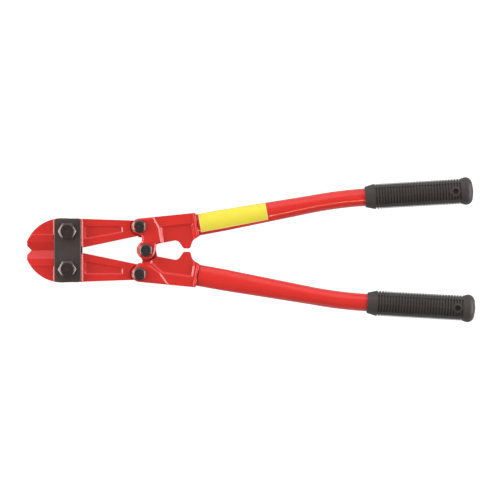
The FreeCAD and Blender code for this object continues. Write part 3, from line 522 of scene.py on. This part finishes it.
def soften(node, radius, keen=None):
    """Round a piece's sharp edges with real geometry, apart from those that keen(start, end) picks."""
    piece = NODES[node]
    weigh_edges(piece.data, keen)
    weld = piece.modifiers.new("weld", "WELD")
    weld.merge_threshold = WELD_REACH
    flat = piece.modifiers.new("flatten", "DECIMATE")
    flat.decimate_type = "DISSOLVE"
    flat.angle_limit = FLAT_ANGLE
    edges = piece.modifiers.new("round_edges", "BEVEL")
    edges.width = radius
    edges.segments = 2
    edges.limit_method = "WEIGHT"
    edges.harden_normals = True
    edges.use_clamp_overlap = True


def press_together(node, shift):
    """Move a jaw's vertices in the meeting plane by shift along Y.

    The two jaws are pressed together in this way, so that no light comes between them.
    """
    piece = NODES[node]
    meeting = piece.vertex_groups.new(name="meeting plane")
    inside = [vertex.index for vertex in piece.data.vertices if abs(vertex.co.y) < JAW_GAP]
    meeting.add(inside, 1.0, "REPLACE")
    press = piece.modifiers.new("press_together", "DISPLACE")
    press.vertex_group = meeting.name
    press.direction = "Y"
    press.mid_level = 0.0
    press.strength = shift


def weigh_edges(mesh, keen):
    """Mark each edge to be rounded: sharper than ROUND_ANGLE, and not one of the keen ones."""
    normals = {}
    for face in mesh.polygons:
        for pair in face.edge_keys:
            normals.setdefault(edge_place(mesh, pair), []).append(face.normal)
    weights = mesh.attributes.new("bevel_weight_edge", "FLOAT", "EDGE")
    for edge in mesh.edges:
        near = normals[edge_place(mesh, edge.vertices)]
        sharp = len(near) == 2 and near[0].angle(near[1], 0.0) > ROUND_ANGLE
        start, end = (mesh.vertices[i].co for i in edge.vertices)
        if sharp and not (keen and keen(start, end)):
            weights.data[edge.index].value = 1.0


def where_sides_meet(start, end):
    """True for an edge in the tool's middle plane, where the closed jaws and the heads' bumpers meet."""
    return max(abs(start.y), abs(end.y)) < JAW_GAP


def edge_place(mesh, pair):
    """An edge's two ends to a micrometre, the same for every copy of the edge."""
    ends = (tuple(round(x / MM, 3) for x in mesh.vertices[i].co) for i in pair)
    return tuple(sorted(ends))


def mid_plane():
    """Height of the middle of the jaws' thickness, the plane in which all the forgings lie."""
    low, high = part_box("upper_jaw")
    return (low.z + high.z) / 2


def axis_of(node):
    """A round piece's own axis: its start, its direction away from the jaws, and its length."""
    points = numpy.array([vertex.co for vertex in NODES[node].data.vertices])
    centre = points.mean(axis=0)
    along = numpy.linalg.svd(points - centre, full_matrices=False)[2][0]
    along *= math.copysign(1, along[0])
    reach = (points - centre) @ along
    low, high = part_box(node)
    start = Vector(centre + along * reach.min())
    start.z = (low.z + high.z) / 2
    return start, Vector(along), float(reach.max() - reach.min())


def radius_near(node, start, along, place, window):
    """The largest radius of a round piece within window of a place along its axis."""
    radii = []
    for vertex in NODES[node].data.vertices:
        away = vertex.co - start
        if abs(away.dot(along) - place) <= window:
            radii.append((away - along * away.dot(along)).length)
    return max(radii)


def link_mesh(name, bm, material):
    """Turn a bmesh into a piece with one material."""
    mesh = bpy.data.meshes.new(name)
    bm.normal_update()
    bm.to_mesh(mesh)
    bm.free()
    mesh.materials.append(material)
    piece = bpy.data.objects.new(name, mesh)
    bpy.context.scene.collection.objects.link(piece)
    return piece


def add_rings(bm, rings):
    """Join rings of points into a skin and return the rings' vertices."""
    made = [[bm.verts.new(point) for point in ring] for ring in rings]
    count = len(made[0])
    for near, far in zip(made, made[1:]):
        for i in range(count):
            bm.faces.new((near[i], near[(i + 1) % count], far[(i + 1) % count], far[i]))
    return made


def turned_solid(profile, angles, place, groove=None):
    """A closed solid of revolution.

    profile lists (distance along the axis, radius, depth of the groove there) from the inner end of the
    bore round to the closed end; angles are its columns; place turns (along, radius, angle) into a point,
    and groove(angle) is the share of the groove's depth at that angle.
    """
    bm = bmesh.new()
    rings = [[place(along, radius - depth * (groove(a) if groove else 0), a) for a in angles]
             for along, radius, depth in profile]
    made = add_rings(bm, rings)
    for ring, (along, _, _) in ((made[0], profile[0]), (made[-1], profile[-1])):
        tip = bm.verts.new(place(along, 0.0, 0.0))
        for i in range(len(ring)):
            bm.faces.new((ring[i], ring[(i + 1) % len(ring)], tip))
    bmesh.ops.recalc_face_normals(bm, faces=bm.faces)
    return bm


def combine(piece, tool, operation):
    """Join or cut a piece with a tool by an exact boolean, and discard the tool."""
    step = piece.modifiers.new(operation.lower(), "BOOLEAN")
    step.operation = operation
    step.solver = "EXACT"
    step.object = tool
    depsgraph = bpy.context.evaluated_depsgraph_get()
    result = bpy.data.meshes.new_from_object(piece.evaluated_get(depsgraph), depsgraph=depsgraph)
    piece.modifiers.clear()
    old = piece.data
    piece.data = result
    bpy.data.meshes.remove(old)
    bpy.data.objects.remove(tool)


def smooth(mesh, angle):
    """Shade smoothly except across edges sharper than this."""
    mesh.shade_smooth()
    mesh.set_sharp_from_angle(angle=angle)


def upright_drum(name, centre, radius, heights, material, count=48):
    """A plain upright cylinder between two heights, as a tool for booleans."""
    bm = bmesh.new()
    ring = [(math.cos(math.tau * i / count), math.sin(math.tau * i / count)) for i in range(count)]
    rings = [[Vector((centre.x + radius * x, centre.y + radius * y, z)) for x, y in ring]
             for z in sorted(heights)]
    made = add_rings(bm, rings)
    bm.faces.new(reversed(made[0]))
    bm.faces.new(made[1])
    bmesh.ops.recalc_face_normals(bm, faces=bm.faces)
    return link_mesh(name, bm, material)


# ---------------------------------------------------------------- grips

def grip_profile(grip, length, floor, mouth, body, flange, bore):
    """The grip's outline from the inner end of its bore to the middle of its closed end.

    Each entry is (distance along the axis, radius, groove depth). Every rib is a flat land followed by a
    groove with a flat floor and two steep sides.
    """
    outline = [(floor, bore, 0), (0, bore, 0), (0, mouth - MOUTH_ROUND, 0),
               (MOUTH_LEAD * MOUTH_ROUND, mouth, 0), (grip.cone, body, 0)]
    ribbed = length - grip.flare - grip.cone
    count = int(ribbed / grip.rib_pitch)
    pitch = ribbed / count
    for i in range(count):
        start = grip.cone + i * pitch
        for share, depth in RIB:
            outline.append((start + share * pitch, body, depth * grip.rib_depth))
    foot = length - grip.flare
    crest = length - FLANGE_BACK
    outline.append((foot, body, 0))
    for i in range(1, FLARE_RINGS + 1):
        share = i / FLARE_RINGS
        rise = (1 - math.cos(math.pi * share)) / 2
        outline.append((foot + (crest - foot) * share, body + (flange - body) * rise, 0))
    for i in range(1, END_RINGS + 1):
        turn = math.radians(90) * i / END_RINGS
        outline.append((length - DOME - END_ROUND * (1 - math.sin(turn)),
                        flange - END_ROUND * (1 - math.cos(turn)), 0))
    rim = flange - END_ROUND
    for share in DOME_RINGS:
        outline.append((length - DOME * share ** 2, rim * share, 0))
    return outline


def band_places(grip):
    """Middle and half width of each smooth band round the grip, from the front mould line."""
    turn = grip.panel_turn
    lines = [(middle, grip.band) for middle in (0.0, math.pi)]
    panels = [(middle, grip.panel) for middle in (turn, math.pi - turn, math.pi + turn, math.tau - turn)]
    return lines + panels


def groove_share(grip):
    """A function of the angle: 0 on the smooth bands, 1 in the grooves and more at the grip's sides."""
    bands = band_places(grip)

    def share(angle):
        clear = min(abs((angle - middle + math.pi) % math.tau - math.pi) - half for middle, half in bands)
        deeper = 1 + SIDE_DEPTH * math.sin(angle) ** 4
        return min(1.0, max(0.0, clear / BAND_RAMP)) * deeper
    return share


def grip_columns(grip):
    """Angles of the mesh's columns: one at each corner of each band and even steps between."""
    marks = set()
    for middle, half in band_places(grip):
        for offset in (-half - BAND_RAMP, -half, half, half + BAND_RAMP):
            marks.add((middle + offset) % math.tau)
    marks = sorted(marks)
    angles = []
    for near, far in zip(marks, marks[1:] + [marks[0] + math.tau]):
        steps = max(1, math.ceil((far - near) / COLUMN_STEP))
        angles += [near + (far - near) * i / steps for i in range(steps)]
    return angles


def make_grip(side, grip, material):
    """Ribbed grip with smooth bands, a flared closed end and a blind hole in a smooth boss on each face."""
    node = f"{side}_grip"
    start, along, length = axis_of(node)
    across = UP.cross(along)
    mouth = radius_near(node, start, along, 0.0, HAIR)
    body = radius_near(node, start, along, length / 2, length * BODY_REACH)
    flange = radius_near(node, start, along, length, length * FLARE_REACH)
    bore = radius_near(f"{side}_tube", start, along, 0.0, TUBE_REACH) + BORE_FIT
    start += along * SLIDE[side]
    floor = length - SLIDE[side] - CLOSED_END
    length -= END_TRIM

    def place(distance, radius, angle):
        return start + along * distance + (UP * math.cos(angle) + across * math.sin(angle)) * radius

    ribbed = grip_profile(grip, length, floor, mouth, body, flange, bore)
    plain = [(distance, radius + BOSS_PROUD, 0) for distance, radius, _ in ribbed]
    columns = grip_columns(grip)
    skin = turned_solid(ribbed, columns, place, groove_share(grip))
    piece = link_mesh(f"{side}_ribbed_grip", skin, material)
    centre = start + along * (length - grip.hole_place)
    for sign in (1, -1):
        root = start.z + sign * (bore + BOSS_ROOT)
        bottom = start.z + sign * (bore - BORE_FIT + grip.wall)
        outside = start.z + sign * flange * DRILL_REACH
        boss = link_mesh("boss", turned_solid(plain, columns, place), material)
        drum = upright_drum("drum", centre, grip.boss, (root, outside), material)
        combine(boss, drum, "INTERSECT")
        combine(piece, boss, "UNION")
        drill = upright_drum("drill", centre, grip.hole, (bottom, outside), material)
        combine(piece, drill, "DIFFERENCE")
    smooth(piece.data, SMOOTH_ANGLE)
    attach(piece, f"{side}_handle")
    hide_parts(node)


# ---------------------------------------------------------------- label

def tube_section(tree, start, along, distance):
    """Places on the tube's skin round one section, each with its angle from the front crest and way out."""
    across = UP.cross(along)
    middle = start + along * distance
    points = []
    for degrees in range(*FEEL_ARC):
        turn = math.radians(degrees)
        out = UP * math.cos(turn) + across * math.sin(turn)
        hit = tree.ray_cast(middle + out * FEEL_FROM, -out)[0]
        points.append((turn, hit, out))
    return points


def along_skin(points, reach):
    """The place this far round the skin from the front crest, outer side positive, and its way out."""
    i = next(i for i, (turn, _, _) in enumerate(points) if turn == 0)
    step = 1 if reach >= 0 else -1
    left = abs(reach)
    while True:
        _, here, out = points[i]
        _, there, out_there = points[i + step]
        gap = (there - here).length
        if left <= gap:
            return here.lerp(there, left / gap), out.lerp(out_there, left / gap)
        left -= gap
        i += step


def head_end(node):
    """Middle of a tube's head end, and the direction in which its flat run leaves it."""
    mesh = NODES[node].data
    upright = [face for face in mesh.polygons if abs(face.normal.z) < UPRIGHT]
    mouth = min(upright, key=lambda face: face.center.x)
    along = -mouth.normal
    depth = mouth.center.dot(along)
    ring = [vertex.co for vertex in mesh.vertices if abs(vertex.co.dot(along) - depth) < HAIR]
    return sum(ring, Vector()) / len(ring), along


def make_label(label, material):
    """A thin sheet of vinyl wrapped round the tube, with a thickness and a map in millimetres."""
    tube = NODES["upper_tube"]
    bm = bmesh.new()
    bm.from_mesh(tube.data)
    tree = BVHTree.FromBMesh(bm)
    bm.free()
    start, along = head_end("upper_tube")
    rows, columns = LABEL_GRID
    bm = bmesh.new()
    layer = bm.loops.layers.uv.new("millimetres")
    width = label.inner + label.outer
    sheets = []
    places = {}
    sections = [tube_section(tree, start, along, label.start + label.length * row / rows)
                for row in range(rows + 1)]
    for lift in (LABEL_SEAT, LABEL_SEAT + LABEL_THICK):
        grid = []
        for row in range(rows + 1):
            line = []
            for column in range(columns + 1):
                reach = width * column / columns
                point, out = along_skin(sections[row], reach - label.inner)
                vertex = bm.verts.new(point + out.normalized() * lift)
                places[vertex] = (label.length * row / rows / MM, reach / MM)
                line.append(vertex)
            grid.append(line)
        sheets.append(grid)
    under, over = sheets
    for grid, order in ((under, -1), (over, 1)):
        for r in range(rows):
            for c in range(columns):
                quad = (grid[r][c], grid[r + 1][c], grid[r + 1][c + 1], grid[r][c + 1])
                bm.faces.new(quad[::order])
    rim = ([(r, 0) for r in range(rows)] + [(rows, c) for c in range(columns)]
           + [(r, columns) for r in range(rows, 0, -1)] + [(0, c) for c in range(columns, 0, -1)])
    for (r, c), (r2, c2) in zip(rim, rim[1:] + rim[:1]):
        bm.faces.new((under[r][c], under[r2][c2], over[r2][c2], over[r][c]))
    for face in bm.faces:
        for loop in face.loops:
            loop[layer].uv = places[loop.vert]
    bmesh.ops.recalc_face_normals(bm, faces=bm.faces)
    piece = link_mesh("tube_label", bm, material)
    smooth(piece.data, SMOOTH_ANGLE)
    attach(piece, "upper_handle")


# ---------------------------------------------------------------- operators

class BOLTCUTTERS_OT_forgings(bpy.types.Operator):
    """Paint the jaws and the handle heads"""
    bl_idname = "boltcutters.forgings"
    bl_label = "Paint the Forgings"

    def execute(self, context):
        paint = context.scene.cutter_paint
        red = enamel("baked gloss enamel on forged steel", paint.face, paint.skin, mid_plane())
        for side in SIDES:
            for forging in ("jaw", "handle_head"):
                dress(f"{side}_{forging}", red)
                soften(f"{side}_{forging}", EDGE_ROUND[forging], where_sides_meet)
        press_together("upper_jaw", -JAW_GAP / 2)
        press_together("lower_jaw", JAW_GAP / 2)
        return {"FINISHED"}


class BOLTCUTTERS_OT_tubes(bpy.types.Operator):
    """Paint the handle tubes"""
    bl_idname = "boltcutters.tubes"
    bl_label = "Paint the Tubes"

    def execute(self, context):
        paint = context.scene.cutter_paint
        for side in SIDES:
            node = f"{side}_tube"
            red = enamel(f"baked gloss enamel on drawn {side} tube", paint.tube,
                         joint=head_end(node), flow=0.04)
            dress(node, red)
        return {"FINISHED"}


class BOLTCUTTERS_OT_straps(bpy.types.Operator):
    """Blacken the straps"""
    bl_idname = "boltcutters.straps"
    bl_label = "Blacken the Straps"

    def execute(self, context):
        steel = context.scene.cutter_steel
        black = black_oxide("black oxide on rolled steel", steel.strap, steel.worn_and_glint,
                            metallic=0.35, roughness=0.42)
        for node in ("front_strap", "rear_strap"):
            dress(node, black)
            soften(node, STRAP_ROUND)
        return {"FINISHED"}


class BOLTCUTTERS_OT_fasteners(bpy.types.Operator):
    """Blacken the bolts and nuts and plate the washers"""
    bl_idname = "boltcutters.fasteners"
    bl_label = "Finish the Fasteners"

    def execute(self, context):
        steel = context.scene.cutter_steel
        black = black_oxide("black oxide on headed steel", steel.bolt, steel.worn_and_glint,
                            metallic=0.9, roughness=0.26)
        bright = zinc("bright zinc on punched steel", steel.washer)
        for node in NODES:
            if node.endswith("washer"):
                dress(node, bright)
            elif node.endswith(("bolt", "nut")):
                dress(node, black)
                soften(node, FASTENER_ROUND)
        return {"FINISHED"}


class BOLTCUTTERS_OT_grips(bpy.types.Operator):
    """Mould the two ribbed rubber grips"""
    bl_idname = "boltcutters.grips"
    bl_label = "Mould the Grips"

    def execute(self, context):
        grip = context.scene.cutter_grips
        rubber = moulded_rubber("moulded rubber", grip.rubber)
        for side in SIDES:
            make_grip(side, grip, rubber)
        return {"FINISHED"}


class BOLTCUTTERS_OT_label(bpy.types.Operator):
    """Stick the bare label round the upper tube"""
    bl_idname = "boltcutters.label"
    bl_label = "Stick on the Label"

    def execute(self, context):
        label = context.scene.cutter_label
        sheet = vinyl("printed vinyl", label.vinyl, label.margin, label.length, label.inner + label.outer,
                      label.border)
        make_label(label, sheet)
        return {"FINISHED"}


class BOLTCUTTERS_OT_studio(bpy.types.Operator):
    """Set up the floor, the light and the camera"""
    bl_idname = "boltcutters.studio"
    bl_label = "Set Up the Studio"

    def execute(self, context):
        studio = context.scene.cutter_studio
        make_floor(studio)
        make_world(context.scene, studio)
        make_lamps(context.scene, studio)
        make_camera(context.scene, studio)
        return {"FINISHED"}


# ---------------------------------------------------------------- studio

def make_floor(studio):
    """A pale floor that shows white to the camera and in reflections, and keeps the tool's shadow."""
    bm = bmesh.new()
    bmesh.ops.create_grid(bm, x_segments=1, y_segments=1, size=FLOOR_SIZE)
    bmesh.ops.translate(bm, verts=bm.verts, vec=-UP * FLOOR_DROP)
    material, tree = new_material("matt white paint")
    paint = add(tree, "ShaderNodeBsdfDiffuse", {"Color": studio.floor})
    glow = seen(tree, studio.glow, studio.glow * MIRRORED_WHITE)
    white = add(tree, "ShaderNodeEmission", {"Strength": glow})
    both = add(tree, "ShaderNodeAddShader", {0: paint.outputs[0], 1: white.outputs[0]})
    add(tree, "ShaderNodeOutputMaterial", {"Surface": both.outputs[0]})
    link_mesh("floor", bm, material)


def seen(tree, direct, mirrored):
    """direct for rays from the camera or through glass, mirrored for mirror rays, and 0 for all others."""
    rays = add(tree, "ShaderNodeLightPath").outputs
    straight = add(tree, "ShaderNodeMath", {0: rays["Is Camera Ray"], 1: rays["Is Transmission Ray"]},
                   operation="MAXIMUM")
    shown = add(tree, "ShaderNodeMath", {0: straight.outputs[0], 1: direct}, operation="MULTIPLY")
    bounced = add(tree, "ShaderNodeMath", {0: rays["Is Glossy Ray"], 1: mirrored}, operation="MULTIPLY")
    both = add(tree, "ShaderNodeMath", {0: shown.outputs[0], 1: bounced.outputs[0]}, operation="MAXIMUM")
    return both.outputs[0]


def make_world(scene, studio):
    """A studio whose side beyond the upper handle is a cool white and whose ceiling and near side are dark.

    That is the light it gives. The camera sees plain white, and so do mirror rays in part.
    """
    world = bpy.data.worlds.new("studio")
    scene.world = world
    world.use_nodes = True
    tree = world.node_tree
    tree.nodes.clear()
    direction = add(tree, "ShaderNodeTexCoord").outputs["Generated"]
    lean = add(tree, "ShaderNodeVectorMath", {0: direction, 1: BRIGHT_SIDE}, operation="DOT_PRODUCT")
    towards = {"Value": lean.outputs["Value"], "From Min": BRIGHT_EDGE[0], "From Max": BRIGHT_EDGE[1]}
    level = add(tree, "ShaderNodeMapRange", {**towards, "To Min": studio.dark, "To Max": studio.bright})
    cool = add(tree, "ShaderNodeMapRange", towards)
    tinted = add(tree, "ShaderNodeMix", {"Factor": cool.outputs[0], "A": WHITE, "B": COOL},
                 data_type="RGBA")
    light = add(tree, "ShaderNodeVectorMath", {0: tinted.outputs["Result"], "Scale": level.outputs[0]},
                operation="SCALE")
    shown = add(tree, "ShaderNodeMix", {
        "Factor": seen(tree, 1.0, MIRRORED_WHITE), "A": light.outputs[0], "B": WHITE}, data_type="RGBA")
    sky = add(tree, "ShaderNodeBackground", {"Color": shown.outputs["Result"], "Strength": 1.0})
    add(tree, "ShaderNodeOutputWorld", {"Surface": sky.outputs[0]})


def make_lamp(scene, name, bearing, rise, size, watts, mirrored):
    """A flat lamp that looks at the middle of the tool from a bearing and a height in degrees.

    One that isn't mirrored gives light but doesn't show in reflections.
    """
    turn = math.radians(bearing)
    lift = math.radians(rise)
    aim = Vector((math.cos(turn) * math.cos(lift), math.sin(turn) * math.cos(lift), math.sin(lift)))
    lamp = bpy.data.lights.new(name, "AREA")
    lamp.shape = "RECTANGLE"
    lamp.size, lamp.size_y = size
    lamp.energy = watts
    holder = bpy.data.objects.new(name, lamp)
    holder.location = (CAD_BOX[0] + CAD_BOX[1]) / 2 + aim * LAMP_DISTANCE
    holder.rotation_mode = "QUATERNION"
    holder.rotation_quaternion = (-aim).to_track_quat("-Z", "Y")
    holder.visible_glossy = mirrored
    scene.collection.objects.link(holder)
    return holder


def make_lamps(scene, studio):
    """A soft box with a small fill above it beyond each end of the tool, a small key and a long strip.

    The key stands on the far side. The strip, on the near side, only draws a warm line of shine along the
    upper tube.
    """
    for end, bearing in (("jaw", 178), ("grip", 2)):
        make_lamp(scene, f"{end}_end_box", bearing, 17.5, BOX_SIZE, studio.panel_light, mirrored=True)
        make_lamp(scene, f"{end}_end_fill", bearing, 55, SPOT_SIZE, studio.fill_light, mirrored=False)
    make_lamp(scene, "far_key", 90, 45, SPOT_SIZE, studio.key_light, mirrored=False)
    strip = make_lamp(scene, "near_strip", -90, 50, STRIP_SIZE, studio.strip_light, mirrored=True)
    strip.data.color = WARM
    strip.visible_diffuse = False
    lit = bpy.data.collections.new("lit by the strip")
    lit.objects.link(NODES["upper_tube"])
    strip.light_linking.receiver_collection = lit


def make_camera(scene, studio):
    """Look straight down on the middle of the tool."""
    low, high = CAD_BOX
    camera = bpy.data.cameras.new("camera")
    camera.lens = studio.lens
    camera.sensor_width = SENSOR
    camera.clip_end = CLIP_END
    height = mid_plane() + studio.view_width * camera.lens / camera.sensor_width
    holder = bpy.data.objects.new("camera", camera)
    holder.location = Vector(((low.x + high.x) / 2, (low.y + high.y) / 2, height)) + OFF_CENTRE
    holder.rotation_euler = (0.0, 0.0, CAMERA_ROLL)
    scene.collection.objects.link(holder)
    scene.camera = holder


# ---------------------------------------------------------------- panel and registration

class BOLTCUTTERS_PT_panel(bpy.types.Panel):
    """Lists the steps and the settings"""
    bl_idname = "BOLTCUTTERS_PT_panel"
    bl_label = "Bolt Cutters"
    bl_space_type = "VIEW_3D"
    bl_region_type = "UI"
    bl_category = "Bolt Cutters"

    def draw(self, context):
        for operator in OPERATORS:
            self.layout.operator(operator.bl_idname)
        for name, group in SETTINGS.items():
            box = self.layout.box()
            for field in group.__annotations__:
                box.prop(getattr(context.scene, name), field)


OPERATORS = (
    BOLTCUTTERS_OT_forgings,
    BOLTCUTTERS_OT_tubes,
    BOLTCUTTERS_OT_straps,
    BOLTCUTTERS_OT_fasteners,
    BOLTCUTTERS_OT_grips,
    BOLTCUTTERS_OT_label,
    BOLTCUTTERS_OT_studio,
)
SETTINGS = {
    "cutter_paint": PaintSettings,
    "cutter_steel": SteelSettings,
    "cutter_grips": GripSettings,
    "cutter_label": LabelSettings,
    "cutter_studio": StudioSettings,
}


def register():
    """Register the settings, the operators and the panel."""
    for name, group in SETTINGS.items():
        bpy.utils.register_class(group)
        setattr(bpy.types.Scene, name, bpy.props.PointerProperty(type=group))
    for operator in OPERATORS:
        bpy.utils.register_class(operator)
    bpy.utils.register_class(BOLTCUTTERS_PT_panel)


def unregister():
    """Take everything out again."""
    bpy.utils.unregister_class(BOLTCUTTERS_PT_panel)
    for operator in reversed(OPERATORS):
        bpy.utils.unregister_class(operator)
    for name, group in reversed(SETTINGS.items()):
        delattr(bpy.types.Scene, name)
        bpy.utils.unregister_class(group)


def main():
    """Run every step in order."""
    register()
    bpy.context.scene.view_settings.view_transform = "Standard"
    bpy.ops.boltcutters.forgings()
    bpy.ops.boltcutters.tubes()
    bpy.ops.boltcutters.straps()
    bpy.ops.boltcutters.fasteners()
    bpy.ops.boltcutters.grips()
    bpy.ops.boltcutters.label()
    bpy.ops.boltcutters.studio()
    bpy.context.view_layer.update()


if __name__ == "__main__":
    main()
